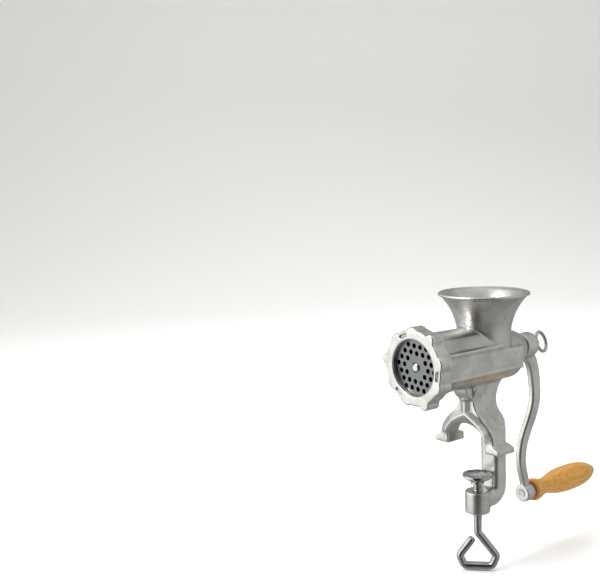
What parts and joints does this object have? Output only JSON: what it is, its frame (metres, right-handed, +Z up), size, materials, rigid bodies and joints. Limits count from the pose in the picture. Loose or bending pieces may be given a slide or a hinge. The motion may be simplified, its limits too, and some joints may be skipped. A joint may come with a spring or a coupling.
{
  "type": "hand crank meat grinder",
  "caption": "Clamp-on hand meat grinder: flared hopper, worm barrel, perforated plate under a lobed ring nut, S-shaped crank with wooden grip, and a table clamp with a loop-handled screw.",
  "frame": {"origin": "where the clamp screw's axis meets the plane of the feet's undersides, which is the table top", "axes": "+Z up along the clamp screw; +Y along the barrel from the perforated plate towards the crank; +X across, so the object is symmetrical about X = 0 apart from its nut, ring and loop"},
  "size_m": [0.0812, 0.2481, 0.2545],
  "materials": {
    "tinned_iron": "hot tinned, satin, lightly pebbled",
    "plate_steel": "ground steel",
    "steel": "bright plated steel",
    "bronze": "dull bronze",
    "varnished_wood": "clear varnished beech, honey coloured"
  },
  "bodies": {
    "housing": {"housing": "tinned_iron", "plate_key": "steel", "rear_bush": "bronze"},
    "worm": {"auger": "tinned_iron", "knife": "steel", "thrust_washer": "steel"},
    "plate": {"hole_plate": "plate_steel"},
    "nut": {"ring_nut": "tinned_iron"},
    "crank": {"crank_arm": "tinned_iron", "grip_pin": "steel", "grip_washer": "steel"},
    "grip": {"grip": "varnished_wood"},
    "ring_screw": {"ring_screw": "steel"},
    "pad": {"clamp_pad": "steel"},
    "screw": {"clamp_screw": "steel"}
  },
  "joints": [
    {"name": "crank_turn", "type": "hinge", "parent": "housing", "child": "worm", "pos_m": [0, 0, 0.082], "axis": [0, 1, 0], "continuous": true},
    {"name": "crank_pull", "type": "slide", "parent": "worm", "child": "crank", "axis": [0, 1, 0], "range_m": [0, 0.01]},
    {"name": "ring_screw_turn", "type": "hinge", "parent": "crank", "child": "ring_screw", "pos_m": [0, 0, 0.082], "axis": [0, 1, 0], "range_deg": [0, 3600]},
    {"name": "grip_spin", "type": "hinge", "parent": "crank", "child": "grip", "pos_m": [0, 0, -0.06], "axis": [0, 1, 0], "continuous": true},
    {"name": "plate_draw", "type": "slide", "parent": "housing", "child": "plate", "axis": [0, -1, 0], "range_m": [0, 0.009]},
    {"name": "ring_nut_turn", "type": "hinge", "parent": "plate", "child": "nut", "pos_m": [0, 0, 0.082], "axis": [0, -1, 0], "range_deg": [0, 1080]},
    {"name": "pad_lift", "type": "slide", "parent": "housing", "child": "pad", "axis": [0, 0, 1], "range_m": [-0.006, 0.018]},
    {"name": "clamp_screw_turn", "type": "hinge", "parent": "pad", "child": "screw", "pos_m": [0, 0, 0], "axis": [0, 0, 1], "range_deg": [-1728, 5184]}
  ],
  "couplings": [
    {"joint": "ring_screw_turn", "follows": "crank_pull", "rad_per_m": 6283.2},
    {"joint": "plate_draw", "follows": "ring_nut_turn", "m_per_rad": 0.00047746},
    {"joint": "pad_lift", "follows": "clamp_screw_turn", "m_per_rad": 0.00019894}
  ]
}
